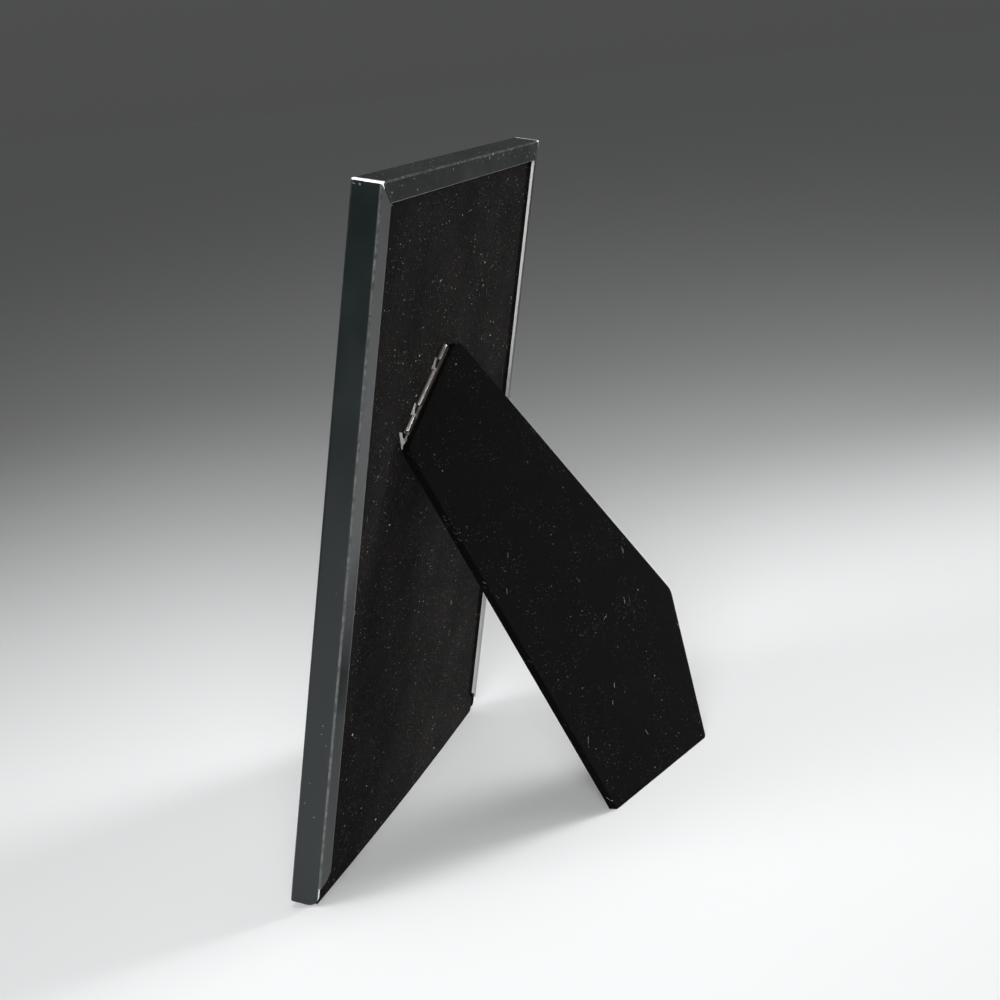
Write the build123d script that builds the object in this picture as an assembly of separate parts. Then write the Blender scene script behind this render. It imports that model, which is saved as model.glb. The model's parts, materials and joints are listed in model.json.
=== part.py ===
"""Easel back photo frame: folded sheet frame, slide-in velvet back and a hinged five-sided leg."""

import os
from math import cos, radians, sin, tan

from build123d import *

# All lengths are millimetres and all angles are degrees.
# The frame is first modelled upright: X to the right seen from the front, Y to the back, Z up.
# It is then leaned back until it stands on the lower edge of its back and on the foot of its leg.

# Print and the layers packed behind the front border
print_width = 152.4
print_height = 203.2
print_thickness = 0.25
glass_thickness = 2.0
card_thickness = 1.3
board_thickness = 2.25
lining_thickness = 0.15
velvet_thickness = 0.4

# Clearances
layer_gap = 0.05
print_side_gap = 0.3
print_top_gap = 0.5
print_foot_gap = 0.8
pane_gap = 0.3
back_side_gap = 0.4
back_top_gap = 0.05
lining_inset = 1.0

# Folded sheet
sheet = 1.0
fold_radius = 0.85
bend_run = 1.5
border = 9.0
window_radius = 1.0
flange_width = 6.0
flange_tilt = 7.7
flange_foot = 5.6
flange_foot_radius = 6.5
wall_edge_inset = 0.3
wall_foot_radius = 3.0
corner_seam = 0.25

# Lower edge of the back, below the lower edge of the walls, and its rounded lower corners
back_drop = 0.6
back_corner_radius = 1.6

# Hinge: the pin's centre from the wall on the +X side and from the lower edge of the frame
hinge_from_side = 55.8
hinge_height = 140.9
hinge_slant = 33.0
pin_diameter = 0.8
pin_clearance = 0.04
pin_recess = 3.0
leaf_thickness = 0.3
leaf_width = 9.0
leaf_relief = 0.3
end_knuckle = 6.3
hook_slot = 4.5
middle_knuckle = 14.6
hook_side_gap = 0.2
hook_play = 0.3
eye_width = 0.5
slot_edge = 0.7

# Hooks: how far their thin and thick ends reach past the pin, and how long their feet are
hook_reach = 1.3
hook_inside = 0.9
hook_root = 0.5
hook_foot = 1.5

# Heights over the back of the hooks and of the ear at the hinge's lower end
hook_low = 0.3
hook_high = 0.95
ear_low = 0.75
ear_height = 1.4

# Places of the ear: beyond the hinge's end, then down from the pin
ear_gap = 2.7
ear_start = -2.5
ear_notch = -0.4
ear_peak = 0.4
ear_crest = 1.6
ear_neck = 3.0
ear_end = 4.3
ear_round = 0.4
ear_clearance = 0.2

# Rivets
rivet_diameter = 1.6
rivet_head_diameter = 3.2
rivet_head_height = 0.3
rivet_clearance = 0.03
rivet_head_clearance = 0.1
rivet_row = 5.2
back_rivet_half_spacing = 15.0
leg_rivet_half_spacing = 6.5

# Leg, measured from the pin: across it to each side, and down the leg
leg_board_thickness = 1.9
leg_lining_thickness = 0.2
leg_top = 0.9
leg_left = 24.57
leg_left_flare = 13.95
leg_right = 21.4
leg_right_flare = 2.7
toe_offset = 5.5
toe_angle = 40.1
leg_corner_radius = 1.5
leg_shoulder_radius = 5.0
leg_top_radius = 3.0
leaf_slot_gap = 0.3

# Standing pose
lean = 13.4
leg_opening = 31.25

# Sizes worked out from those above
frame_width = print_width + 2 * print_side_gap + 2 * sheet
frame_height = print_height + print_foot_gap + print_top_gap + sheet
half_width = frame_width / 2
glass_front = sheet + layer_gap
print_front = glass_front + glass_thickness + layer_gap
card_front = print_front + print_thickness + layer_gap
lining_front = card_front + card_thickness + layer_gap
board_front = lining_front + lining_thickness
velvet_front = board_front + board_thickness
back_face = velvet_front + velvet_thickness
frame_depth = back_face + layer_gap + sheet
back_width = frame_width - 2 * sheet - 2 * back_side_gap
back_top = frame_height - sheet - back_top_gap

bore_radius = pin_diameter / 2 + pin_clearance
knuckle_radius = bore_radius + leaf_thickness
hinge_length = 2 * end_knuckle + 2 * hook_slot + middle_knuckle
slot_start = middle_knuckle / 2
slot_end = slot_start + hook_slot
leaf_start = knuckle_radius + leaf_relief
ear_inside = hinge_length / 2 + ear_gap

leg_lining_face = bore_radius - leg_lining_thickness
leg_board_face = bore_radius + leg_board_thickness
leg_outer_face = leg_board_face + velvet_thickness

# Long enough to pass right through the part where a cut has no other end
through = 2 * (frame_height + frame_width)

# Placing: the hinge lies on the back, and the leg is turned open about its pin
hinge_plane = Plane(
    origin=(half_width - hinge_from_side, back_face + knuckle_radius, hinge_height),
    x_dir=(cos(radians(hinge_slant)), 0, -sin(radians(hinge_slant))),
    z_dir=(0, 1, 0),
)
hinge_place = hinge_plane.location
leg_place = hinge_place * Rot(leg_opening, 0, 0)
table_drop = back_face * sin(radians(lean)) + back_drop * cos(radians(lean))
leaned = Pos(0, 0, table_drop) * Rot(-lean, 0, 0)


def block(x_range, y_range, z_range):
    """Box between two values on each axis."""
    lows = [x_range[0], y_range[0], z_range[0]]
    highs = [x_range[1], y_range[1], z_range[1]]
    middle = [(low + high) / 2 for low, high in zip(lows, highs)]
    sizes = [high - low for low, high in zip(lows, highs)]
    return Pos(*middle) * Box(*sizes)


def rounded(face, corner, radius):
    """Flat face with the corner nearest to a point rounded."""
    nearest = face.vertices().sort_by_distance((corner[0], corner[1], 0))[0]
    return fillet(nearest, radius)


def polygon(points):
    """Flat face from its corners, in order."""
    return Sketch() + make_face(Polyline(*points, close=True))


def disc(radius, low, high, across, down):
    """Round bar along the third axis, between two heights."""
    return Pos(across, down, (low + high) / 2) * Cylinder(radius, high - low)


# Folded sheet frame


def front_plate():
    """Front border round the window, with its outer edges folded round."""
    plate = block((-half_width, half_width), (0, sheet), (0, frame_height))
    front_edges = plate.edges().filter_by_position(Axis.Y, -sheet / 4, sheet / 4)
    plate = fillet(front_edges, fold_radius)
    window = block(
        (-half_width + border, half_width - border),
        (-sheet, 2 * sheet),
        (border, frame_height - border),
    )
    window = fillet(window.edges().filter_by(Axis.Y), window_radius)
    return plate - window


def side_wall():
    """Side wall, seen along X, with its lower back corner rounded below the flange."""
    bend_start = frame_depth - bend_run
    wall_back = frame_depth - wall_edge_inset
    outline = polygon([
        (sheet, 0),
        (wall_back, 0),
        (wall_back, flange_foot),
        (bend_start, flange_foot),
        (bend_start, frame_height),
        (sheet, frame_height),
    ])
    outline = rounded(outline, (wall_back, 0), wall_foot_radius)
    return extrude(Plane.YZ * outline, sheet)


def flange_section():
    """Bend and flange in section: distance in from the wall's outside, then distance to the back."""
    run = cos(radians(flange_tilt))
    rise = sin(radians(flange_tilt))
    bend_start = frame_depth - bend_run
    tip = (flange_width * run, frame_depth + flange_width * rise)
    under_tip = (tip[0] + sheet * rise, tip[1] - sheet * run)
    inner_run = sheet * (1 - rise) / run
    inner_corner = (sheet, frame_depth - sheet * run + inner_run * rise)
    section = polygon([
        (0, bend_start),
        (0, frame_depth),
        tip,
        under_tip,
        inner_corner,
        (sheet, bend_start),
    ])
    return rounded(section, (0, frame_depth), fold_radius)


def flange_edge():
    """Distance from the wall's outside to past the flange's free edge."""
    return flange_width * cos(radians(flange_tilt)) + sheet


def side_flange():
    """Side flange: mitred at the top, rounded off above the open bottom."""
    edge = flange_edge()
    mitre_top = frame_height - corner_seam
    plan = polygon([
        (-sheet, flange_foot),
        (edge, flange_foot),
        (edge, mitre_top - edge),
        (sheet, mitre_top - sheet),
        (sheet, frame_height),
        (-sheet, frame_height),
    ])
    plan = rounded(plan, (edge, flange_foot), flange_foot_radius)
    strip = extrude(flange_section(), frame_height)
    return strip & extrude(Plane.XZ * plan, 2 * frame_depth, both=True)


def top_flange():
    """Top flange: mitred at both ends, between the side walls."""
    edge = flange_edge()
    near = sheet + corner_seam
    plan = polygon([
        (-sheet, near),
        (sheet, near),
        (edge, edge + corner_seam),
        (edge, frame_width - edge - corner_seam),
        (sheet, frame_width - near),
        (-sheet, frame_width - near),
    ])
    strip = extrude(flange_section(), frame_width)
    flange = strip & extrude(Plane.XZ * plan, 2 * frame_depth, both=True)
    top_edge = Plane(origin=(-half_width, 0, frame_height), x_dir=(0, 0, -1), z_dir=(1, 0, 0))
    return top_edge.location * flange


def frame_shell():
    """Front border, three walls, three flanges and the low lip that keeps the glass in."""
    between = half_width - sheet - corner_seam
    bend_start = frame_depth - bend_run
    top_wall = block((-between, between), (sheet, bend_start), (frame_height - sheet, frame_height))
    lip_depth = glass_front + glass_thickness
    bottom_lip = block((-between, between), (sheet, lip_depth), (0, sheet))
    wall = side_wall()
    flange = side_flange()
    far_side = Pos(-half_width, 0, 0)
    shell = front_plate() + top_wall + bottom_lip + top_flange()
    shell += far_side * wall
    shell += far_side * flange
    shell += mirror(far_side * wall, Plane.YZ)
    shell += mirror(far_side * flange, Plane.YZ)
    return shell


# Layers inside the frame


def glass_pane():
    """Glass standing on the bottom lip, behind the border."""
    half = half_width - sheet - pane_gap
    depth = (glass_front, glass_front + glass_thickness)
    return block((-half, half), depth, (sheet, frame_height - sheet - pane_gap))


def print_layer(front, thickness):
    """Sheet of the print's size at its place in the pack."""
    half = print_width / 2
    return block((-half, half), (front, front + thickness), (print_foot_gap, print_foot_gap + print_height))


# Rivets and the holes for them


def rivet(low_head, high_head, across):
    """Rivet along the third axis, with a flat head outside each of two seats."""
    head_radius = rivet_head_diameter / 2
    shank = disc(rivet_diameter / 2, low_head, high_head, across, rivet_row)
    low = disc(head_radius, low_head - rivet_head_height, low_head, across, rivet_row)
    high = disc(head_radius, high_head, high_head + rivet_head_height, across, rivet_row)
    return shank + low + high


def rivet_holes(half_spacing, low, high, radius):
    """Pair of round cutters for the rivets of one leaf."""
    return [disc(radius, low, high, across, rivet_row) for across in (-half_spacing, half_spacing)]


shank_hole = rivet_diameter / 2 + rivet_clearance
head_hole = rivet_head_diameter / 2 + rivet_head_clearance

# Heights of the back's layers, measured out from the pin
back_surface = -knuckle_radius
back_board_outer = back_surface - velvet_thickness
back_board_inner = back_board_outer - board_thickness
back_leaf_top = -bore_radius

# Back that slides in from below


def back_rivets():
    """Two rivets through the back leaf, the velvet and the board."""
    low_seat = back_board_inner + rivet_head_height
    spots = (-back_rivet_half_spacing, back_rivet_half_spacing)
    return [rivet(low_seat, back_leaf_top, across) for across in spots]


def back_outline():
    """Upright plate as wide as the back, with its two lower corners rounded."""
    half = back_width / 2
    outline = polygon([(-half, -back_drop), (half, -back_drop), (half, back_top), (-half, back_top)])
    for side in (-half, half):
        outline = rounded(outline, (side, -back_drop), back_corner_radius)
    return extrude(Plane.XZ * outline, 2 * frame_depth, both=True)


def back_board():
    """Stiff board, sunk at the inside for the rivet heads."""
    half = back_width / 2
    foot = velvet_thickness - back_drop
    board = block((-half, half), (board_front, velvet_front), (foot, back_top)) & back_outline()
    seat = back_board_inner + rivet_head_height
    for cutter in rivet_holes(back_rivet_half_spacing, seat, back_leaf_top, shank_hole):
        board -= hinge_place * cutter
    for cutter in rivet_holes(back_rivet_half_spacing, back_board_inner - sheet, seat, head_hole):
        board -= hinge_place * cutter
    return board


def back_velvet():
    """Velvet over the outside of the back, turned under its lower edge."""
    half = back_width / 2
    velvet = block((-half, half), (board_front, back_face), (-back_drop, back_top)) & back_outline()
    turned_edge = velvet_thickness - back_drop
    velvet -= block((-half_width, half_width), (0, velvet_front), (turned_edge, frame_height))
    for cutter in rivet_holes(back_rivet_half_spacing, back_board_outer, back_leaf_top, shank_hole):
        velvet -= hinge_place * cutter
    return velvet


def back_lining():
    """Paper on the inside of the back."""
    half = back_width / 2 - lining_inset
    return block((-half, half), (lining_front, board_front), (lining_inset, back_top - lining_inset))


# Hinge, along its pin, down the leg and out from the back


def tube_length(centre, length):
    """Round bar along the pin with the knuckle's outside."""
    return Pos(centre, 0, 0) * Rot(0, 90, 0) * Cylinder(knuckle_radius, length)


def pin_bore():
    """Cutter for the pin's bore along the whole hinge."""
    return Rot(0, 90, 0) * Cylinder(bore_radius, 2 * hinge_length)


def hinge_pin():
    """Wire pin, ending a little inside the row of knuckles."""
    return Rot(0, 90, 0) * Cylinder(pin_diameter / 2, hinge_length - 2 * pin_recess)


def hook_slots():
    """Both gaps between the knuckles, along the pin."""
    return [(-slot_end, -slot_start), (slot_start, slot_end)]


def hinge_leg_leaf():
    """Leaf in the leg: a plate and three closed knuckles round the pin."""
    half = hinge_length / 2
    height = (bore_radius, knuckle_radius)
    end_centre = half - end_knuckle / 2
    leaf = block((-half, half), (leaf_start, leaf_width), height)
    for centre, length in ((-end_centre, end_knuckle), (0, middle_knuckle), (end_centre, end_knuckle)):
        leaf += block((centre - length / 2, centre + length / 2), (0, leaf_start), height)
        leaf += tube_length(centre, length)
    for start, end in hook_slots():
        clear_of_eye = end - eye_width - 2 * hook_side_gap
        leaf += block((start, clear_of_eye), (slot_edge, leaf_start), height)
    leaf -= pin_bore()
    for cutter in rivet_holes(leg_rivet_half_spacing, -knuckle_radius, 2 * knuckle_radius, shank_hole):
        leaf -= cutter
    return leaf


def hook(start, end):
    """Hook of the back leaf: a claw that runs along the far side of the pin, and an eye at its thick end."""
    low = -knuckle_radius
    plan = polygon([
        (start, -hook_reach),
        (end, -hook_root),
        (end, leaf_start),
        (end - hook_foot, leaf_start),
        (end - hook_foot, 0),
        (start, -hook_inside),
    ])
    rise = polygon([(start, low), (end, low), (end, low + hook_high), (start, low + hook_low)])
    claw = extrude(plan, 2 * knuckle_radius, both=True)
    claw &= extrude(Plane.XZ * rise, 2 * leaf_start, both=True)
    claw -= block((start, end), (0, 2 * leaf_start), (-bore_radius, 2 * knuckle_radius))
    eye = tube_length(end - eye_width / 2, eye_width)
    return claw + eye - pin_bore()


def end_ear():
    """Ear bent up at the lower end of the back leaf: low beside the pin, then with a crest."""
    low = -knuckle_radius
    outline = polygon([
        (ear_start, low),
        (ear_start, low + ear_low),
        (ear_notch, low + ear_low),
        (ear_peak, low + ear_height),
        (ear_crest, low + ear_height),
        (ear_end, low + leaf_thickness),
        (ear_end, low),
    ])
    for place in (ear_peak, ear_crest):
        outline = rounded(outline, (place, low + ear_height), ear_round)
    return Pos(ear_inside, 0, 0) * extrude(Plane.YZ * outline, leaf_thickness)


def hinge_back_leaf():
    """Leaf on the back: a plate with an ear at its lower end and two hooks on the pin."""
    height = (-knuckle_radius, -bore_radius)
    leaf = block((-hinge_length / 2, slot_end), (leaf_start, leaf_width), height)
    leaf += block((slot_end, hinge_length / 2), (ear_neck, leaf_width), height)
    leaf += block((hinge_length / 2, ear_inside + leaf_thickness), (ear_neck, ear_end), height)
    leaf += end_ear()
    for start, end in hook_slots():
        leaf += hook(start + hook_play, end - hook_side_gap)
    for cutter in rivet_holes(back_rivet_half_spacing, -2 * knuckle_radius, 0, shank_hole):
        leaf -= cutter
    return leaf


# Leg, modelled flat from its pin and turned open


def foot_height(across, down):
    """Height over the table of a point on the leg's outer face."""
    return (leaned * leg_place * Pos(across, down, leg_outer_face)).position.Z


def leg_corners():
    """Corners of the leg: its foot edge lies on the table, and its toe edge serves for standing sideways."""
    height = foot_height(0, 0)
    by_across = foot_height(1, 0) - height
    by_down = foot_height(0, 1) - height
    left_slope = tan(radians(leg_left_flare))
    right_slope = tan(radians(leg_right_flare))
    toe_slope = tan(radians(toe_angle))
    heel_down = -(height + by_across * leg_left) / (by_down + by_across * left_slope)
    toe_down = -(height + by_across * toe_offset) / by_down
    shoulder_down = (toe_down * toe_slope - toe_offset - leg_right) / (toe_slope + right_slope)
    return [
        (leg_left + leg_top * left_slope, leg_top),
        (leg_left + heel_down * left_slope, heel_down),
        (toe_offset, toe_down),
        (-leg_right - shoulder_down * right_slope, shoulder_down),
        (-leg_right - leg_top * right_slope, leg_top),
    ]


def leg_outline():
    """Five-sided outline of the covered leg, with soft corners."""
    corners = leg_corners()
    outline = polygon(corners)
    radii = [leg_top_radius, leg_corner_radius, leg_corner_radius, leg_shoulder_radius, leg_top_radius]
    for corner, radius in zip(corners, radii):
        outline = rounded(outline, corner, radius)
    return outline


def leg_layer(outline, low, high, table_height):
    """Flat layer of the open leg between two heights over the pin, cut level over the table."""
    layer = leaned * leg_place * Pos(0, 0, low) * extrude(outline, high - low)
    below = block((-through, through), (-through, through), (-through, table_height))
    return layer - below


def leg_core_outline():
    """Outline of the board inside the velvet."""
    return offset(leg_outline(), -velvet_thickness)


def leg_cut(piece, cutters):
    """Piece of the open leg with cutters taken out, which are given from the pin."""
    for cutter in cutters:
        piece -= leaned * leg_place * cutter
    return piece


def ear_pocket():
    """Cutter for the place of the ear in the folded leg."""
    across = (ear_inside - leaf_slot_gap, ear_inside + leaf_thickness + leaf_slot_gap)
    height = (-sheet, -knuckle_radius + ear_height + ear_clearance)
    return block(across, (0, ear_end + ear_clearance), height)


def leg_velvet():
    """Velvet over the outside and the edges of the leg, slit where the leaf comes out."""
    cover = leg_layer(leg_outline(), leg_lining_face, leg_outer_face, 0)
    cover -= leg_layer(leg_core_outline(), leg_lining_face - sheet, leg_board_face, velvet_thickness)
    slit_half = hinge_length / 2 + leaf_slot_gap
    slit_down = (0, leg_top + 2 * velvet_thickness)
    slit = block((-slit_half, slit_half), slit_down, (-sheet, knuckle_radius + layer_gap))
    return leg_cut(cover, [slit, ear_pocket()])


def leg_board():
    """Stiff board of the leg, with a shallow seat for the leaf."""
    half = hinge_length / 2 + leaf_slot_gap
    seat = block((-half, half), (0, leaf_width + leaf_slot_gap), (0, knuckle_radius))
    outer_seat = leg_board_face - rivet_head_height
    board = leg_layer(leg_core_outline(), bore_radius, leg_board_face, velvet_thickness)
    cutters = [seat, ear_pocket()]
    cutters += rivet_holes(leg_rivet_half_spacing, 0, leg_board_face, shank_hole)
    cutters += rivet_holes(leg_rivet_half_spacing, outer_seat, leg_outer_face, head_hole)
    return leg_cut(board, cutters)


def leg_lining():
    """Paper on the inside of the leg, with holes round the rivet heads and for the ear."""
    lining = leg_layer(leg_core_outline(), leg_lining_face, bore_radius, velvet_thickness)
    holes = rivet_holes(leg_rivet_half_spacing, -sheet, knuckle_radius, head_hole)
    return leg_cut(lining, [*holes, ear_pocket()])


def leg_rivets():
    """Two rivets through the leg leaf and the board."""
    high_seat = leg_board_face - rivet_head_height
    spots = (-leg_rivet_half_spacing, leg_rivet_half_spacing)
    return [rivet(bore_radius, high_seat, across) for across in spots]


def upright_pieces():
    """Pieces modelled on the upright frame."""
    return {
        "frame_shell": frame_shell(),
        "glass_pane": glass_pane(),
        "photo_print": print_layer(print_front, print_thickness),
        "filler_card": print_layer(card_front, card_thickness),
        "back_board": back_board(),
        "back_velvet": back_velvet(),
        "back_lining": back_lining(),
        "hinge_back_leaf": hinge_place * hinge_back_leaf(),
        "hinge_pin": hinge_place * hinge_pin(),
        "back_leaf_rivets": Compound(children=[hinge_place * piece for piece in back_rivets()]),
        "hinge_leg_leaf": leg_place * hinge_leg_leaf(),
        "leg_leaf_rivets": Compound(children=[leg_place * piece for piece in leg_rivets()]),
    }


def standing_pieces():
    """Every piece as the frame stands, before it is centred over the origin."""
    pieces = {name: leaned * piece for name, piece in upright_pieces().items()}
    pieces["leg_velvet"] = leg_velvet()
    pieces["leg_board"] = leg_board()
    pieces["leg_lining"] = leg_lining()
    return pieces


# The origin is on the table, below the middle of the whole part
standing = standing_pieces()
reach = [piece.bounding_box() for piece in standing.values()]
front_reach = min(box.min.Y for box in reach)
back_reach = max(box.max.Y for box in reach)
centred = Pos(0, -(front_reach + back_reach) / 2, 0)

os.makedirs("parts", exist_ok=True)
for name, piece in standing.items():
    export_step(centred * piece, f"parts/{name}.step")

placed_hinge = centred * leaned * hinge_place
pin_end = (placed_hinge * Pos(1, 0, 0)).position
print("frame", frame_width, frame_height, frame_depth)
print("pin centre", placed_hinge.position)
print("pin direction", pin_end - placed_hinge.position)
print("leg corners", leg_corners())
print("front and back reach", front_reach, back_reach)
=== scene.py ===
import json
from math import cos, radians, sin, tan

import bpy
from mathutils import Matrix, Vector, noise


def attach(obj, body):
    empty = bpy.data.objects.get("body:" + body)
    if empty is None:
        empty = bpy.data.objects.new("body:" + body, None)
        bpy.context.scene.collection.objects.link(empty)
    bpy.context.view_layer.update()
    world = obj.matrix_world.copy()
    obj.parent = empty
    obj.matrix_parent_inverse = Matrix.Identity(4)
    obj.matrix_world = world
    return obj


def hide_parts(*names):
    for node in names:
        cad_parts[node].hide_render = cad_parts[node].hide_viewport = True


# Easel back photo frame, dressed in satin paint, velvet, nickel, glass and a generic print

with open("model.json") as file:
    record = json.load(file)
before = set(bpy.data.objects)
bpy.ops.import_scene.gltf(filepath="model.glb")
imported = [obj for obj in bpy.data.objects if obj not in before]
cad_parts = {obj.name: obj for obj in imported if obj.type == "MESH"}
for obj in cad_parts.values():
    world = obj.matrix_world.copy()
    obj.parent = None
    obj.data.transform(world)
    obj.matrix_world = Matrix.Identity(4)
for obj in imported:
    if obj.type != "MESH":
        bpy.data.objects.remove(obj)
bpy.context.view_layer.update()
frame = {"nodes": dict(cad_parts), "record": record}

MM = 0.001

# Sizes of the part, in millimetres on the upright frame: X right, Y back, Z up
FRAME_WIDTH = 155.0
FRAME_HEIGHT = 205.5
FRAME_DEPTH = 8.6
SHEET = 1.0
FLANGE_WIDTH = 6.0
FLANGE_TILT = 7.7
FLANGE_FOOT = 5.6
WALL_BACK = 8.3
WALL_FOOT_RADIUS = 3.0
BACK_WIDTH = 152.2
BACK_TOP = 204.45
BACK_DROP = 0.6
BACK_CORNER_RADIUS = 1.6
BOARD_FRONT = 4.9
VELVET_FRONT = 7.15
BACK_FACE = 7.55
VELVET = 0.4
KNUCKLE_RADIUS = 0.74
HINGE_HEIGHT = 140.9
HINGE_SLANT = 33.0
LEAN = 13.4
OPENING = 31.25

# Leg in its own plane: across it from the pin, down it, and out from the pin
LEG_TOP = 0.9
LEG_LEFT = 24.57
LEG_LEFT_FLARE = 13.95
LEG_RIGHT = 21.4
LEG_RIGHT_FLARE = 2.7
TOE_OFFSET = 5.5
TOE_ANGLE = 40.1
LEG_RADII = (3.0, 1.5, 1.5, 5.0, 3.0)
LEG_INSIDE = 0.24
LEG_BOARD_FACE = 2.34
LEG_OUTSIDE = 2.74
LEAF_SLIT = (-18.4, 18.4)
EAR_SLIT = (20.0, 21.9)
SLIT_DOWN = 3.0
SLIT_TOP = 0.88

# Cloth: unevenness of laid velvet in millimetres, columns of the back, and millimetres to one flat unit
UNEVEN = 0.05
BACK_COLUMNS = 100
FLAT_UNIT = 100.0

# Place of the upright frame in the row frame, from the pin's place there
leg_fold = next(joint for joint in frame["record"]["behaviour"]["joints"] if joint["name"] == "leg_fold")
pin_place = Vector(leg_fold["pos_m"]) / MM
hinge_point = Vector((pin_place.x, BACK_FACE + KNUCKLE_RADIUS, HINGE_HEIGHT))
centre_shift = hinge_point.y * cos(radians(LEAN)) + hinge_point.z * sin(radians(LEAN)) - pin_place.y
table_drop = BACK_FACE * sin(radians(LEAN)) + BACK_DROP * cos(radians(LEAN))
leaning = Matrix.Rotation(radians(-LEAN), 4, "X")
stand = Matrix.Scale(MM, 4) @ Matrix.Translation((0, -centre_shift, table_drop)) @ leaning

# Axes of the hinge on the upright frame: along the pin, down the leg and out from the back
pin_axis = Vector((cos(radians(HINGE_SLANT)), 0, -sin(radians(HINGE_SLANT))))
out_axis = Vector((0, 1, 0))
down_axis = out_axis.cross(pin_axis)
hinge_axes = Matrix((pin_axis, down_axis, out_axis)).transposed().to_4x4()
leg_place = stand @ Matrix.Translation(hinge_point) @ hinge_axes @ Matrix.Rotation(radians(OPENING), 4, "X")


# Shader building


class Shader:
    """Material under construction. Inputs take a plain value or another node's output."""

    def __init__(self, name):
        self.material = bpy.data.materials.new(name)
        self.material.use_nodes = True
        self.tree = self.material.node_tree
        self.surface = self.tree.nodes["Principled BSDF"]

    def wire(self, socket, value):
        if isinstance(value, bpy.types.NodeSocket):
            self.tree.links.new(value, socket)
        else:
            socket.default_value = value

    def add(self, kind, inputs, **settings):
        node = self.tree.nodes.new(kind)
        for key, value in settings.items():
            setattr(node, key, value)
        for key, value in inputs.items():
            self.wire(node.inputs[key], value)
        return node

    def math(self, operation, first, second=0.0):
        return self.add("ShaderNodeMath", {0: first, 1: second}, operation=operation).outputs[0]

    def vector(self, operation, first, second):
        return self.add("ShaderNodeVectorMath", {0: first, 1: second}, operation=operation).outputs[0]

    def ramp(self, value, low, high, start=0.0, end=1.0):
        inputs = {"Value": value, "From Min": low, "From Max": high, "To Min": start, "To Max": end}
        node = self.add("ShaderNodeMapRange", inputs, clamp=True, interpolation_type="SMOOTHSTEP")
        return node.outputs["Result"]

    def below(self, value, limit, soft):
        """1 where a value is under a limit, with a soft edge."""
        return self.ramp(value, limit - soft, limit + soft, 1.0, 0.0)

    def above(self, value, limit, soft):
        """1 where a value is over a limit, with a soft edge."""
        return self.ramp(value, limit - soft, limit + soft)

    def both(self, *masks):
        total = masks[0]
        for mask in masks[1:]:
            total = self.math("MULTIPLY", total, mask)
        return total

    def either(self, *masks):
        total = masks[0]
        for mask in masks[1:]:
            total = self.math("MAXIMUM", total, mask)
        return total

    def mix(self, factor, first, second):
        """Colour between two colours."""
        node = self.add("ShaderNodeMix", {0: factor, 6: first, 7: second}, data_type="RGBA")
        return node.outputs[2]

    def blend(self, factor, first, second):
        """Number between two numbers."""
        return self.add("ShaderNodeMix", {0: factor, 2: first, 3: second}, data_type="FLOAT").outputs[0]

    def noise(self, place, scale, detail=2.0, rough=0.5):
        inputs = {"Vector": place, "Scale": scale, "Detail": detail, "Roughness": rough}
        return self.add("ShaderNodeTexNoise", inputs).outputs["Fac"]

    def cells(self, place, scale, flat=True):
        inputs = {"Vector": place, "Scale": scale}
        return self.add("ShaderNodeTexVoronoi", inputs, voronoi_dimensions="2D" if flat else "3D")

    def bump(self, height, strength, distance, normal=None):
        inputs = {"Height": height, "Strength": strength, "Distance": distance}
        if normal is not None:
            inputs["Normal"] = normal
        return self.add("ShaderNodeBump", inputs).outputs["Normal"]

    def soft_edges(self, radius):
        """Normal that rounds the hard edges a little."""
        return self.add("ShaderNodeBevel", {"Radius": radius}, samples=6).outputs["Normal"]

    def place_mm(self):
        """Point on the piece in the row frame, in millimetres."""
        found = self.add("ShaderNodeTexCoord", {}).outputs["Object"]
        return self.vector("MULTIPLY", found, (1000.0, 1000.0, 1000.0))

    def upright(self):
        """Point on the piece as on the upright frame, in millimetres, with its three parts."""
        moved = self.vector("SUBTRACT", self.place_mm(), (0.0, -centre_shift, table_drop))
        inputs = {"Vector": moved, "Angle": radians(LEAN)}
        turned = self.add("ShaderNodeVectorRotate", inputs, rotation_type="X_AXIS").outputs[0]
        parts = self.add("ShaderNodeSeparateXYZ", {0: turned}).outputs
        return turned, parts[0], parts[1], parts[2]

    def along_hinge(self, place):
        """Point given from the pin's middle: along the pin, down from it and out from the back."""
        place = self.vector("SUBTRACT", place, tuple(pin_place))
        parts = []
        for axis in (pin_axis, down_axis, out_axis):
            row_axis = leaning.to_3x3() @ axis
            node = self.add("ShaderNodeVectorMath", {0: place, 1: tuple(row_axis)}, operation="DOT_PRODUCT")
            parts.append(node.outputs["Value"])
        return self.add("ShaderNodeCombineXYZ", dict(enumerate(parts))).outputs[0]

    def laid_flat(self):
        """Point on a cloth piece in its own plane, in millimetres."""
        found = self.add("ShaderNodeUVMap", {}, uv_map="flat").outputs["UV"]
        return self.vector("MULTIPLY", found, (FLAT_UNIT, FLAT_UNIT, FLAT_UNIT))

    def finish(self, **inputs):
        for key, value in inputs.items():
            self.wire(self.surface.inputs[key.replace("_", " ")], value)
        return self.material


# Materials


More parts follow.
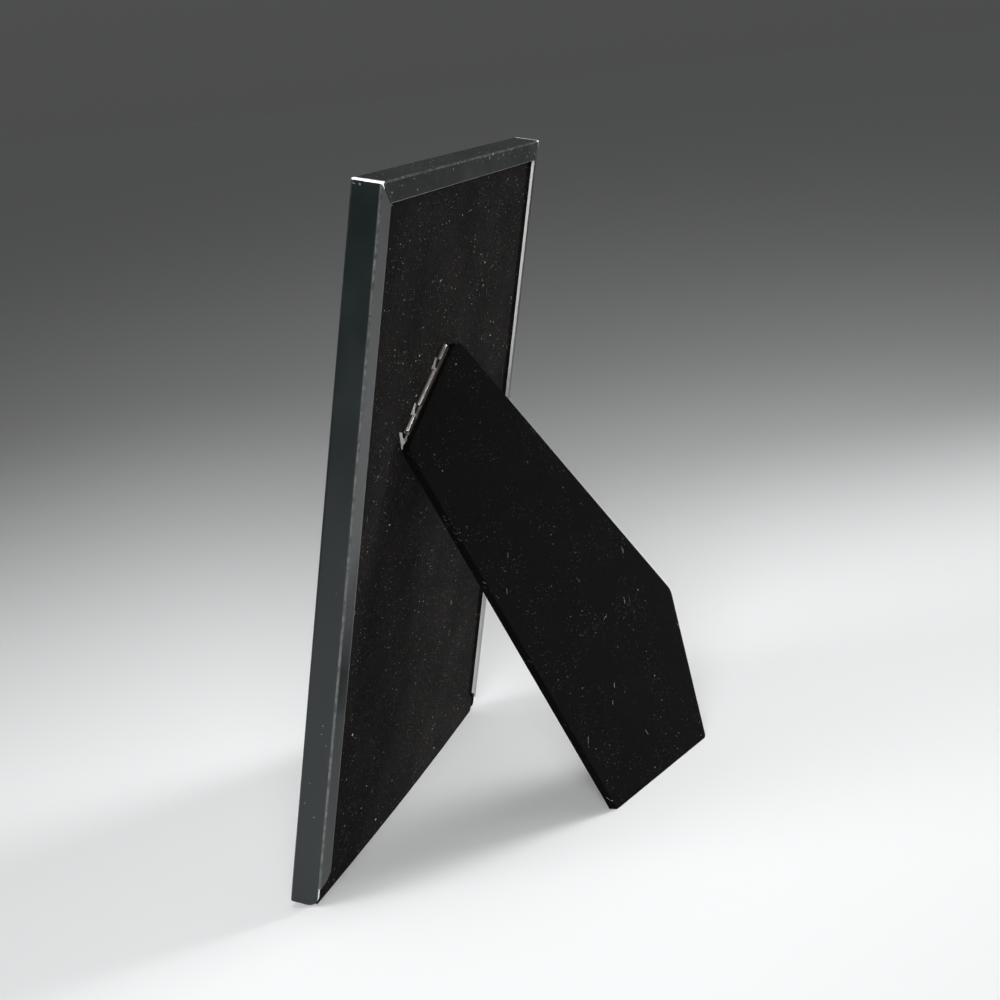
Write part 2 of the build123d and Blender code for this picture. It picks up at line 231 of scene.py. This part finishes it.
def cut_ends_and_glint(shader, from_side, from_top, y, z, ragged):
    """Unpainted metal at the walls' upper ends, the mitres' outer ends and the notches at the foot, its band
    drawn wider and near white as a painted highlight.
    """
    on_wall = shader.below(from_side, SHEET + 0.12, 0.04)
    # The band runs down the wall's outer face from its top, beyond the cut face: painted highlight.
    ragged_top = shader.math("ADD", from_top, ragged)
    wall_end = shader.both(on_wall, shader.below(ragged_top, 0.58, 0.1))
    past_mitre = shader.math("SUBTRACT", from_top, from_side)
    mitre_end = shader.both(
        shader.above(past_mitre, 0.0, 0.05),
        shader.below(shader.math("ADD", past_mitre, ragged), 0.62, 0.08),
        shader.below(from_side, 1.4, 0.25),
        shader.above(y, FRAME_DEPTH - 1.2, 0.1),
    )
    over_arc = shader.math("MAXIMUM", shader.math("SUBTRACT", y, WALL_BACK - WALL_FOOT_RADIUS), 0.0)
    under_arc = shader.math("MAXIMUM", shader.math("SUBTRACT", WALL_FOOT_RADIUS, z), 0.0)
    squares = shader.math("ADD", shader.math("POWER", over_arc, 2.0), shader.math("POWER", under_arc, 2.0))
    notch_edge = shader.both(
        on_wall,
        shader.above(from_side, 0.1, 0.04),
        shader.above(shader.math("SQRT", squares), WALL_FOOT_RADIUS - 0.06, 0.02),
        shader.below(z, FLANGE_FOOT + 0.05, 0.1),
        shader.above(y, 4.6, 0.5),
    )
    return shader.either(wall_end, mitre_end, notch_edge)


def free_edges(shader, inward, y):
    """Cut edges of the flanges, which face the window's middle."""
    tilt = radians(FLANGE_TILT)
    behind = shader.math("SUBTRACT", y, FRAME_DEPTH)
    across_part = shader.math("MULTIPLY", inward, cos(tilt))
    behind_part = shader.math("MULTIPLY", behind, sin(tilt))
    along = shader.math("ADD", across_part, behind_part)
    at_edge = shader.above(along, FLANGE_WIDTH - 0.07, 0.02)
    return shader.both(at_edge, shader.above(y, FRAME_DEPTH - 0.1, 0.05))


def bend_highlights(shader, inward, y, patchy):
    """Painted highlight along the bends, more at the back than at the front."""
    back_bend = shader.math("ADD", inward, shader.math("SUBTRACT", FRAME_DEPTH, y))
    front_bend = shader.math("ADD", inward, y)
    back_line = shader.math("MULTIPLY", shader.below(back_bend, 0.515, 0.03), 0.32)
    front_line = shader.math("MULTIPLY", shader.below(front_bend, 0.53, 0.04), 0.16)
    return shader.both(shader.either(back_line, front_line), patchy)


def paint_material():
    """Dark satin paint on sheet metal, unpainted where the sheet was cut, with painted highlights on the cut
    ends and along the bends.
    """
    shader = Shader("satin_paint")
    place, x, y, z = shader.upright()
    from_side = shader.math("SUBTRACT", FRAME_WIDTH / 2, shader.math("ABSOLUTE", x))
    from_top = shader.math("SUBTRACT", FRAME_HEIGHT, z)
    inward = shader.math("MINIMUM", from_side, from_top)

    ragged = shader.math("MULTIPLY", shader.math("SUBTRACT", shader.noise(place, 0.9, 3.0), 0.5), 0.35)
    bare_and_glint = cut_ends_and_glint(shader, from_side, from_top, y, z, ragged)
    cut = free_edges(shader, inward, y)
    patchy = shader.ramp(shader.noise(place, 0.35, 4.0, 0.65), 0.35, 0.65, 0.25, 1.0)
    bend_highlight = bend_highlights(shader, inward, y, patchy)

    smears = shader.noise(place, 0.035, 4.0, 0.6)
    grain = shader.noise(place, 5.0, 2.0)
    specks = shader.cells(place, 0.42, flat=False)
    near_top = shader.below(from_top, 5.0, 3.0)
    dusty = shader.ramp(shader.noise(place, 0.06), 0.45, 0.6, 0.0, 0.05)
    dusty = shader.math("ADD", dusty, shader.math("MULTIPLY", near_top, 0.15))
    dust = shader.both(
        shader.math("LESS_THAN", specks.outputs["Distance"], shader.math("ADD", dusty, 0.02)),
        shader.ramp(shader.noise(place, 1.7), 0.45, 0.7),
    )
    tone = shader.mix(smears, (0.0022, 0.0040, 0.0044, 1), (0.0052, 0.0082, 0.0088, 1))
    # Pale grey along the bends: painted highlight.
    tone = shader.mix(bend_highlight, tone, (0.22, 0.225, 0.22, 1))
    tone = shader.mix(shader.math("MULTIPLY", dust, 0.6), tone, (0.35, 0.35, 0.33, 1))
    tone = shader.mix(cut, tone, (0.30, 0.30, 0.29, 1))
    # Near white at the cut ends: partly the unpainted metal, partly painted highlight.
    tone = shader.mix(bare_and_glint, tone, (0.93, 0.93, 0.92, 1))
    gloss = shader.ramp(smears, 0.3, 0.75, 0.18, 0.28)
    gloss = shader.math("ADD", gloss, shader.math("MULTIPLY", dust, 0.3))
    gloss = shader.blend(shader.either(bare_and_glint, cut), gloss, 0.42)
    metal = shader.math("MULTIPLY", shader.either(bare_and_glint, cut), 0.3)
    edges = shader.soft_edges(0.00035)
    normal = shader.bump(grain, 0.12, 0.00006, edges)
    return shader.finish(Base_Color=tone, Metallic=metal, Roughness=gloss, Normal=normal)


def lint_spots(shader, flat, cluster, scale, radius, share, strength):
    """One size of pale specks: cells per millimetre, widest radius, share left without specks and strength.
    """
    cells = shader.cells(flat, scale)
    chance = shader.add("ShaderNodeSeparateColor", {0: cells.outputs["Color"]}).outputs
    reach = shader.math("MULTIPLY", shader.ramp(chance[1], 0.0, 1.0, 0.35, 1.0), radius * scale)
    spot = shader.math("LESS_THAN", cells.outputs["Distance"], reach)
    shown = shader.math("GREATER_THAN", shader.math("ADD", chance[0], cluster), share)
    mask = shader.both(spot, shown)
    weight = shader.blend(chance[2], strength * 0.4, strength)
    return shader.math("MULTIPLY", mask, weight)


def lint_fibres(shader, bent, turn, share, length, width):
    """Short pale fibres lying at about one angle."""
    inputs = {"Vector": bent, "Angle": turn}
    turned = shader.add("ShaderNodeVectorRotate", inputs, rotation_type="Z_AXIS").outputs[0]
    cells = shader.cells(shader.vector("MULTIPLY", turned, (0.5 / length, 0.5 / width, 1.0)), 0.4)
    chance = shader.add("ShaderNodeSeparateColor", {0: cells.outputs["Color"]}).outputs
    spot = shader.math("LESS_THAN", cells.outputs["Distance"], 0.2)
    shown = shader.math("GREATER_THAN", chance[0], share)
    return shader.math("MULTIPLY", shader.both(spot, shown), shader.blend(chance[2], 0.2, 0.75))


def lint_tufts(shader, spread, flat, strength):
    """Irregular bits of fluff, in patches only."""
    fluff = shader.above(shader.noise(spread, 1.5, 5.0, 0.75), 0.67, 0.025)
    patch = shader.above(shader.noise(flat, 0.11, 2.0), 0.56, 0.06)
    return shader.math("MULTIPLY", shader.both(fluff, patch), strength)


def lint_mask(shader, flat, wide, share_shift, force):
    """Pale specks, fluff and short fibres that cling to the pile, and how strongly each shows."""
    fuzz = shader.add("ShaderNodeTexNoise", {"Vector": flat, "Scale": 3.0, "Detail": 2.0}).outputs["Color"]
    fuzzy = shader.vector("ADD", flat, shader.vector("MULTIPLY", fuzz, (0.35, 0.35, 0.0)))
    spread = shader.vector("MULTIPLY", fuzzy, (1.0 / wide, 1.0, 1.0))
    patches = shader.noise(flat, 0.06, 4.0, 0.65)
    cluster = shader.ramp(patches, 0.36, 0.68, -0.22, 0.12)
    layers = ((1.5, 0.13, 0.76, 0.20), (0.55, 0.17, 0.80, 0.50), (0.15, 0.28, 0.84, 1.0))
    masks = [lint_tufts(shader, spread, flat, 0.3 - share_shift * 3)]
    for scale, radius, share, strength in layers:
        left_bare = share + share_shift
        masks.append(lint_spots(shader, spread, cluster, scale, radius, left_bare, strength * force))
    warp = shader.add("ShaderNodeTexNoise", {"Vector": flat, "Scale": 0.35, "Detail": 1.0}).outputs["Color"]
    bent = shader.vector("ADD", flat, shader.vector("MULTIPLY", warp, (2.4, 2.4, 0.0)))
    for turn, share in ((0.35, 0.9988), (1.45, 0.9990), (2.5, 0.9988)):
        masks.append(lint_fibres(shader, bent, turn, share, 1.1, 0.055))
    return shader.either(*masks)


def velvet_material(name, dark, light, sheen, wide, share_shift, force):
    """Black velvet: short pile, brushed this way and that, with pale lint."""
    shader = Shader(name)
    flat = shader.laid_flat()
    pile = shader.noise(flat, 7.0, 3.0, 0.7)
    strokes = shader.noise(shader.vector("MULTIPLY", flat, (1.0, 0.5, 1.0)), 0.9, 5.0, 0.68)
    patches = shader.noise(flat, 0.045, 4.0, 0.55)
    brushed = shader.math("ADD", shader.math("MULTIPLY", strokes, 0.7), shader.math("MULTIPLY", patches, 0.3))
    brushed = shader.ramp(brushed, 0.38, 0.62)
    lint = lint_mask(shader, flat, wide, share_shift, force)
    tone = shader.mix(brushed, dark, light)
    # Darker where the pile is low: painted shade in its dips.
    tone = shader.mix(shader.ramp(pile, 0.3, 0.7, 0.55, 0.0), tone, (0.002, 0.0018, 0.0018, 1))
    tone = shader.mix(lint, tone, (0.55, 0.55, 0.54, 1))
    nap = shader.ramp(brushed, 0.0, 1.0, sheen * 0.35, sheen)
    height = shader.math("ADD", pile, shader.math("MULTIPLY", lint, 1.5))
    normal = shader.bump(height, 0.55, 0.00018)
    return shader.finish(
        Base_Color=tone,
        Roughness=0.95,
        Specular_IOR_Level=0.03,
        Sheen_Weight=nap,
        Sheen_Roughness=0.45,
        Sheen_Tint=(0.62, 0.56, 0.52, 1),
        Normal=normal,
    )


def nickel_material(name, tint, shade, rough, metal):
    """Nickel plate, drawn along the hinge, with painted shade towards its top end and a painted highlight
    towards its lower end.
    """
    shader = Shader(name)
    along = shader.along_hinge(shader.place_mm())
    lines = shader.noise(shader.vector("MULTIPLY", along, (0.12, 2.4, 2.4)), 1.6, 3.0, 0.6)
    spots = shader.noise(along, 0.55, 4.0, 0.6)
    down_pin = shader.add("ShaderNodeSeparateXYZ", {0: along}).outputs[0]
    # Darker towards the hinge's top, brighter towards its lower end: painted shade and painted highlight.
    upper = shader.ramp(down_pin, -14.0, 16.0, 1.0, 0.0)
    # Random matt spots of the plate, joined with the painted shade at the top.
    dull_and_shaded = shader.math("MAXIMUM", shader.ramp(spots, 0.48, 0.72, 0.0, 0.6), upper)
    tone = shader.mix(dull_and_shaded, tint, shade)
    gloss = shader.math("ADD", shader.math("MULTIPLY", lines, 0.14), rough)
    gloss = shader.math("ADD", gloss, shader.math("MULTIPLY", dull_and_shaded, 0.12))
    normal = shader.bump(lines, 0.08, 0.00004, shader.soft_edges(0.00008))
    return shader.finish(Base_Color=tone, Metallic=metal, Roughness=gloss, Normal=normal)


def glass_material():
    """Thin float glass with the faintest smears."""
    shader = Shader("float_glass")
    place = shader.place_mm()
    smears = shader.noise(place, 0.05, 4.0, 0.6)
    gloss = shader.ramp(smears, 0.5, 0.8, 0.0, 0.05)
    tone = shader.mix(smears, (0.985, 0.995, 0.99, 1), (0.97, 0.99, 0.98, 1))
    return shader.finish(Base_Color=tone, Roughness=gloss, Transmission_Weight=1.0, IOR=1.5)


def print_material():
    """Generic print: a pale sky over three soft rows of hills."""
    shader = Shader("generic_print")
    place, x, _, z = shader.upright()
    sky = shader.mix(shader.ramp(z, 80.0, 200.0), (0.78, 0.66, 0.52, 1), (0.34, 0.50, 0.66, 1))
    clouds = shader.noise(shader.vector("MULTIPLY", place, (0.012, 1.0, 0.035)), 1.0, 5.0, 0.55)
    tone = shader.mix(shader.ramp(clouds, 0.5, 0.75, 0.0, 0.55), sky, (0.86, 0.82, 0.78, 1))
    rows = (
        (112.0, 34.0, 0.016, 1.3, (0.36, 0.43, 0.50, 1)),
        (82.0, 40.0, 0.022, 7.7, (0.17, 0.27, 0.28, 1)),
        (46.0, 38.0, 0.030, 4.1, (0.06, 0.13, 0.10, 1)),
    )
    for level, swing, scale, shift, colour in rows:
        along = shader.add("ShaderNodeCombineXYZ", {0: x, 1: shift * 100.0, 2: 0.0}).outputs[0]
        ridge = shader.noise(along, scale, 4.0, 0.5)
        swung = shader.math("MULTIPLY", shader.math("SUBTRACT", ridge, 0.5), swing * 2)
        crest = shader.math("ADD", swung, level)
        under = shader.below(shader.math("SUBTRACT", z, crest), 0.0, 0.35)
        haze = shader.ramp(shader.math("SUBTRACT", crest, z), 0.0, 45.0, 0.0, 0.45)
        shade = shader.mix(haze, colour, (0.62, 0.60, 0.56, 1))
        tone = shader.mix(under, tone, shade)
    grain = shader.noise(place, 9.0, 2.0)
    tone = shader.mix(shader.math("MULTIPLY", grain, 0.06), tone, (0.5, 0.5, 0.5, 1))
    return shader.finish(Base_Color=tone, Roughness=0.38, Normal=shader.bump(grain, 0.05, 0.00003))


def pulp_material(name, dark, light, fleck, scale):
    """Card or paper: mottled pulp with flecks and short fibres."""
    shader = Shader(name)
    place = shader.place_mm()
    pulp = shader.noise(place, scale, 5.0, 0.65)
    fibre = shader.noise(shader.vector("MULTIPLY", place, (0.4, 1.0, 2.4)), scale * 3.0, 2.0)
    specks = shader.cells(place, scale * 1.4, flat=False)
    tone = shader.mix(shader.ramp(pulp, 0.3, 0.7), dark, light)
    tone = shader.mix(shader.below(specks.outputs["Distance"], 0.16, 0.03), tone, fleck)
    height = shader.math("ADD", pulp, fibre)
    return shader.finish(Base_Color=tone, Roughness=0.88, Normal=shader.bump(height, 0.25, 0.00008))


def floor_material():
    """Pale matt floor with a hardly visible tone."""
    shader = Shader("pale_floor")
    place = shader.place_mm()
    tone = shader.mix(shader.noise(place, 0.004, 3.0), (0.91, 0.92, 0.925, 1), (0.935, 0.94, 0.945, 1))
    return shader.finish(Base_Color=tone, Roughness=0.75, Specular_IOR_Level=0.2)


# Cloth pieces


def mesh_piece(name, points, faces, flat, place):
    """Object from points given in millimetres in a plane's own frame, with its flat coordinates."""
    mesh = bpy.data.meshes.new(name)
    mesh.from_pydata([place @ Vector(point) for point in points], [], faces)
    layer = mesh.uv_layers.new(name="flat")
    for loop in mesh.loops:
        across, along = flat[loop.vertex_index]
        layer.data[loop.index].uv = (across / FLAT_UNIT, along / FLAT_UNIT)
    mesh.validate()
    piece = bpy.data.objects.new(name, mesh)
    bpy.context.scene.collection.objects.link(piece)
    for face in mesh.polygons:
        face.use_smooth = True
    return piece


def ripple(across, along, size, seed):
    """Small unevenness of laid cloth, from -1 to 1."""
    return noise.noise(Vector((across / size, along / size, seed)))


def back_swell(x, z):
    """How far the unheld lower middle of the back stands out."""
    middle = max(0.0, 1.0 - (x / (BACK_WIDTH / 2)) ** 2)
    low = max(0.0, 1.0 - max(z, 0.0) / 75.0)
    return 0.8 * middle * low ** 2


def back_half_width(z):
    """Half the width of the back at a height, less at its rounded lower corners."""
    below_arc = max(0.0, BACK_CORNER_RADIUS - BACK_DROP - z)
    along_arc = max(0.0, BACK_CORNER_RADIUS ** 2 - below_arc ** 2) ** 0.5
    return BACK_WIDTH / 2 - BACK_CORNER_RADIUS + along_arc


def back_profile():
    """Velvet in section from its top edge down and under the board: place, and the way it faces."""
    rows = []
    round_edge = 0.35
    heights = [BACK_TOP + (2.0 - BACK_TOP) * step / 118 for step in range(119)]
    heights += [2.0 + (round_edge - BACK_DROP - 2.0) * step / 8 for step in range(1, 9)]
    for height in heights:
        rows.append((BACK_FACE, height, 1.0, 0.0))
    for step in range(1, 6):
        turn = radians(90.0 * step / 5)
        rows.append((
            BACK_FACE - round_edge + round_edge * cos(turn),
            round_edge - BACK_DROP - round_edge * sin(turn),
            cos(turn),
            -sin(turn),
        ))
    under_start = BACK_FACE - round_edge
    under_length = BOARD_FRONT - BACK_FACE + round_edge
    for step in range(1, 4):
        rows.append((under_start + under_length * step / 3, -BACK_DROP, 0.0, -1.0))
    return rows


def skin_faces(rows, columns):
    """Faces of a closed skin of two layers, each a grid of points given row by row."""
    width = columns + 1
    layer = width * rows
    faces = []
    for row in range(rows - 1):
        for column in range(columns):
            corner = row * width + column
            faces.append((corner, corner + 1, corner + width + 1, corner + width))
            other = corner + layer
            faces.append((other, other + width, other + width + 1, other + 1))
    for row in range(rows - 1):
        for side in (0, columns):
            corner = row * width + side
            quad = (corner, corner + width, corner + width + layer, corner + layer)
            faces.append(quad if side == 0 else quad[::-1])
    for top in range(columns):
        low = (rows - 1) * width + top
        faces.append((top, top + layer, top + layer + 1, top + 1))
        faces.append((low, low + 1, low + layer + 1, low + layer))
    return faces


def back_velvet():
    """Velvet over the back, turned under its lower edge, a closed thin skin."""
    rows = back_profile()
    points = []
    flat = []
    for inner in (False, True):
        for y, z, face_y, face_z in rows:
            for column in range(BACK_COLUMNS + 1):
                x = 2 * back_half_width(z) * (column / BACK_COLUMNS - 0.5)
                swell = back_swell(x, z)
                if inner:
                    place_y = min(y - VELVET * face_y, VELVET_FRONT) + swell * 0.5 * max(face_y, 0.0)
                    place_z = z if face_z == 0.0 else z - VELVET * face_z
                else:
                    edge = min(1.0, (BACK_WIDTH / 2 - abs(x)) / 4.0, max(0.0, BACK_TOP - z) / 4.0)
                    place_y = y + (swell + UNEVEN * edge * ripple(x, z, 9.0, 2.0)) * face_y
                    place_z = z
                points.append((x, place_y, place_z))
                flat.append((x, z if face_z > -0.5 else z + (y - BACK_FACE)))
    faces = skin_faces(len(rows), BACK_COLUMNS)
    return mesh_piece("back_velvet_cloth", points, faces, flat, stand)


def foot_height(across, down):
    """Height over the table, in millimetres, of a point on the leg's outer face."""
    return (leg_place @ Vector((across, down, LEG_OUTSIDE))).z / MM


def leg_corners():
    """Five corners of the leg, with its foot edge on the table."""
    height = foot_height(0, 0)
    by_across = foot_height(1, 0) - height
    by_down = foot_height(0, 1) - height
    left_slope = tan(radians(LEG_LEFT_FLARE))
    right_slope = tan(radians(LEG_RIGHT_FLARE))
    toe_slope = tan(radians(TOE_ANGLE))
    heel_down = -(height + by_across * LEG_LEFT) / (by_down + by_across * left_slope)
    toe_down = -(height + by_across * TOE_OFFSET) / by_down
    shoulder_down = (toe_down * toe_slope - TOE_OFFSET - LEG_RIGHT) / (toe_slope + right_slope)
    return [
        Vector((LEG_LEFT + LEG_TOP * left_slope, LEG_TOP)),
        Vector((LEG_LEFT + heel_down * left_slope, heel_down)),
        Vector((TOE_OFFSET, toe_down)),
        Vector((-LEG_RIGHT - shoulder_down * right_slope, shoulder_down)),
        Vector((-LEG_RIGHT - LEG_TOP * right_slope, LEG_TOP)),
    ]


def rounded_outline():
    """Outline of the leg with its corners rounded, evenly divided."""
    corners = leg_corners()
    outline = []
    for index, here in enumerate(corners):
        before = (corners[index - 1] - here).normalized()
        after = (corners[(index + 1) % len(corners)] - here).normalized()
        half = before.angle(after) / 2
        reach = LEG_RADII[index] / tan(half)
        middle = here + (before + after).normalized() * (LEG_RADII[index] / sin(half))
        start = here + before * reach - middle
        end = here + after * reach - middle
        for step in range(7):
            ray = start.lerp(end, step / 6).normalized() * LEG_RADII[index]
            outline.append(middle + ray)
    return divided(outline, 1.6)


def divided(outline, longest):
    """Closed outline with its long runs divided."""
    points = []
    for index, here in enumerate(outline):
        following = outline[(index + 1) % len(outline)]
        pieces = max(1, round((following - here).length / longest))
        for step in range(pieces):
            points.append(here.lerp(following, step / pieces))
    return points


def outward(outline):
    """Unit vectors out of a closed outline at each of its points."""
    centre = sum(outline, Vector((0, 0))) / len(outline)
    arrows = []
    for index, here in enumerate(outline):
        along = outline[(index + 1) % len(outline)] - outline[index - 1]
        arrow = Vector((along.y, -along.x)).normalized()
        if arrow.dot(here - centre) < 0:
            arrow = -arrow
        arrows.append(arrow)
    return centre, arrows


def over_table(point, clear):
    """Point of the leg, drawn up along the leg until it is clear of the table."""
    height = (leg_place @ Vector(point)).z - clear * MM
    if height >= 0:
        return point
    fall = (leg_place @ Vector((0, 1, 0))).z - (leg_place @ Vector((0, 0, 0))).z
    return (point[0], point[1] - height / fall, point[2])


def leg_rings():
    """Rings of the leg's velvet: inset from its outline, height over the pin, and share to the middle."""
    round_edge = 0.45
    rings = []
    for step in range(4):
        rise = LEG_INSIDE + (LEG_OUTSIDE - round_edge - LEG_INSIDE) * step / 4
        rings.append((0.0, rise, 0.0))
    for step in range(6):
        turn = radians(90.0 * step / 5)
        rings.append((round_edge * (1 - cos(turn)), LEG_OUTSIDE - round_edge * (1 - sin(turn)), 0.0))
    for step in range(1, 46):
        rings.append((round_edge, LEG_OUTSIDE, step / 46))
    return rings


def slit_at(spot):
    """Whether the velvet is slit at a point of the leg's outline, for the hinge leaf or its ear."""
    across = any(start < spot.x < end for start, end in (LEAF_SLIT, EAR_SLIT))
    return across and spot.y < SLIT_DOWN


def ring_faces(first, rings, count, flip):
    """Faces between rings of points, from the first point on."""
    faces = []
    for ring in range(rings - 1):
        for index in range(count):
            here = first + ring * count + index
            after = first + ring * count + (index + 1) % count
            quad = (here, after, after + count, here + count)
            faces.append(quad[::-1] if flip else quad)
    return faces


def leg_velvet():
    """Velvet over the outside and the edges of the leg, slit for the hinge leaf and its ear."""
    outline = rounded_outline()
    centre, arrows = outward(outline)
    outer = leg_rings()
    inner = [(VELVET, LEG_INSIDE, 0.0)]
    inner += [(VELVET, LEG_BOARD_FACE, step / 12) for step in range(12)]
    points = []
    flat = []
    count = len(outline)
    for rings, clear in ((outer, 0.0), (inner, VELVET)):
        for inset, rise, share in rings:
            for here, arrow in zip(outline, arrows):
                spot = here - arrow * inset
                spot = spot.lerp(centre, share)
                in_slit = slit_at(here) and share == 0.0
                level = max(rise, SLIT_TOP) if in_slit else rise
                if share > 0.0 and clear == 0.0:
                    level += UNEVEN * min(1.0, share * 12) * ripple(spot.x, spot.y, 8.0, 5.0)
                points.append(over_table((spot.x, spot.y, level), clear))
                flat.append((spot.x, spot.y + 1.5 * (LEG_OUTSIDE - level) * (share == 0.0)))

    inner_first = len(outer) * count
    faces = ring_faces(0, len(outer), count, False)
    faces += ring_faces(inner_first, len(inner), count, True)
    for index in range(count):
        after = (index + 1) % count
        faces.append((index, inner_first + index, inner_first + after, after))
    middles = ((0, len(outer), LEG_OUTSIDE, False), (inner_first, len(inner), LEG_BOARD_FACE, True))
    for first, rings, rise, flip in middles:
        points.append((centre.x, centre.y, rise))
        flat.append((centre.x, centre.y))
        last = first + (rings - 1) * count
        for index in range(count):
            tri = (last + index, last + (index + 1) % count, len(points) - 1)
            faces.append(tri[::-1] if flip else tri)
    return mesh_piece("leg_velvet_cloth", points, faces, flat, leg_place)


def dress(node, material):
    """Give a CAD node a material of its own."""
    slots = frame["nodes"][node].data.materials
    slots.clear()
    slots.append(material)


def add_cloth():
    """Velvet pieces in place of the plain velvet solids."""
    back = back_velvet()
    back_pile = velvet_material(
        "back_velvet_pile",
        dark=(0.0015, 0.0014, 0.0014, 1),
        light=(0.0048, 0.0044, 0.0042, 1),
        sheen=0.027,
        wide=2.2,
        share_shift=0.0,
        force=1.0,
    )
    back.data.materials.append(back_pile)
    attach(back, "back_panel")
    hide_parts("back_velvet")

    leg = leg_velvet()
    # The leg's velvet is drawn darker than the back's: partly a deeper black of its own, partly painted
    # shade.
    leg_pile = velvet_material(
        "leg_velvet_pile",
        dark=(0.0005, 0.0005, 0.0005, 1),
        light=(0.0013, 0.0013, 0.0013, 1),
        sheen=0.005,
        wide=1.0,
        share_shift=0.08,
        force=0.6,
    )
    leg.data.materials.append(leg_pile)
    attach(leg, "leg")
    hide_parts("leg_velvet")


def dress_nodes():
    """Materials of the CAD nodes that stay."""
    nickel = nickel_material("nickel_leaf", (0.92, 0.85, 0.82, 1), (0.52, 0.45, 0.43, 1), 0.24, 1.0)
    pale = nickel_material("nickel_back_leaf", (0.40, 0.395, 0.38, 1), (0.24, 0.23, 0.22, 1), 0.46, 0.35)
    # The pin is drawn near black so the hinge's slots read dark: painted shade.
    pin = nickel_material("pin_painted_shade", (0.06, 0.05, 0.05, 1), (0.03, 0.03, 0.03, 1), 0.45, 1.0)
    rivets = nickel_material("nickel_rivet", (0.46, 0.41, 0.38, 1), (0.28, 0.24, 0.22, 1), 0.32, 1.0)
    # The boards are drawn near black so that they show dark in the velvet's slits: painted shade, partly
    # their own dark grey.
    board = pulp_material(
        "black_board", (0.016, 0.015, 0.015, 1), (0.034, 0.033, 0.032, 1), (0.08, 0.08, 0.075, 1), 0.7
    )
    card = pulp_material(
        "filler_card", (0.44, 0.37, 0.28, 1), (0.58, 0.50, 0.40, 1), (0.30, 0.24, 0.17, 1), 0.5
    )
    lining = pulp_material(
        "black_paper", (0.010, 0.010, 0.010, 1), (0.022, 0.021, 0.020, 1), (0.05, 0.05, 0.05, 1), 1.1
    )
    dress("frame_shell", paint_material())
    dress("glass_pane", glass_material())
    dress("photo_print", print_material())
    dress("filler_card", card)
    for node in ("back_board", "leg_board"):
        dress(node, board)
    for node in ("back_lining", "leg_lining"):
        dress(node, lining)
    dress("hinge_back_leaf", pale)
    dress("hinge_leg_leaf", nickel)
    for node in ("back_leaf_rivets", "leg_leaf_rivets"):
        dress(node, rivets)
    dress("hinge_pin", pin)


# Floor, light and camera


def add_floor():
    """Wide pale floor under the part."""
    reach = 40.0
    corners = [(-reach, -reach, 0), (reach, -reach, 0), (reach, reach, 0), (-reach, reach, 0)]
    mesh = bpy.data.meshes.new("floor")
    mesh.from_pydata(corners, [], [(0, 1, 2, 3)])
    mesh.materials.append(floor_material())
    floor = bpy.data.objects.new("floor", mesh)
    bpy.context.scene.collection.objects.link(floor)


def add_world(strength):
    """Soft grey all round, a little darker towards the floor's far edge."""
    world = bpy.data.worlds.new("studio")
    world.use_nodes = True
    bpy.context.scene.world = world
    tree = world.node_tree
    shade = tree.nodes["Background"]
    shade.inputs["Color"].default_value = (0.98, 0.99, 1.0, 1)
    ray = tree.nodes.new("ShaderNodeTexCoord")
    parts = tree.nodes.new("ShaderNodeSeparateXYZ")
    level = tree.nodes.new("ShaderNodeMapRange")
    for key, value in (("From Max", 0.15), ("To Min", strength * 0.92), ("To Max", strength)):
        level.inputs[key].default_value = value
    tree.links.new(ray.outputs["Generated"], parts.inputs[0])
    tree.links.new(parts.outputs["Z"], level.inputs["Value"])
    tree.links.new(level.outputs["Result"], shade.inputs["Strength"])


def add_light(name, place, aim, size, energy, spread):
    """Square soft light, aimed at a point, with its light kept within an angle."""
    data = bpy.data.lights.new(name, "AREA")
    data.size = size
    data.energy = energy
    data.spread = radians(spread)
    light = bpy.data.objects.new(name, data)
    light.location = place
    light.rotation_mode = "QUATERNION"
    light.rotation_quaternion = (Vector(aim) - Vector(place)).to_track_quat("-Z", "Y")
    bpy.context.scene.collection.objects.link(light)


def add_camera():
    """Camera of the picture: behind the frame, to its hinge side and a little above."""
    place = Vector((501.41, 153.57, 262.67))
    ahead = Vector((-0.92797, -0.23122, -0.29223)).normalized()
    right = Vector((-0.27237, 0.95606, 0.10846))
    right = (right - ahead * right.dot(ahead)).normalized()
    up = right.cross(ahead)
    axes = Matrix((right, up, -ahead)).transposed()
    data = bpy.data.cameras.new("camera")
    data.sensor_width = 36.0
    data.lens = 63.894
    data.clip_start = 0.01
    data.clip_end = 50.0
    camera = bpy.data.objects.new("camera", data)
    turn = Matrix.Rotation(radians(-LEAN), 3, "X")
    camera.matrix_world = Matrix.Translation(stand @ place) @ (turn @ axes).to_4x4()
    bpy.context.scene.collection.objects.link(camera)
    bpy.context.scene.camera = camera


add_cloth()
dress_nodes()
add_floor()
add_world(0.08)
add_light("overhead", (0.1, 0.1, 1.1), (0.1, 0.05, 0.0), 1.0, 0.75, 50.0)
add_light("near", (1.2, 0.32, 0.28), (0.1, 0.02, 0.0), 0.7, 2.73, 45.0)
add_light("far", (-0.66, 0.70, 0.21), (-0.02, 0.04, 0.0), 0.4, 0.82, 40.0)
add_light("front", (0.75, -1.0, 0.7), (0.0, 0.0, 0.08), 0.8, 0.85, 50.0)
add_camera()
bpy.context.scene.view_settings.view_transform = "Standard"
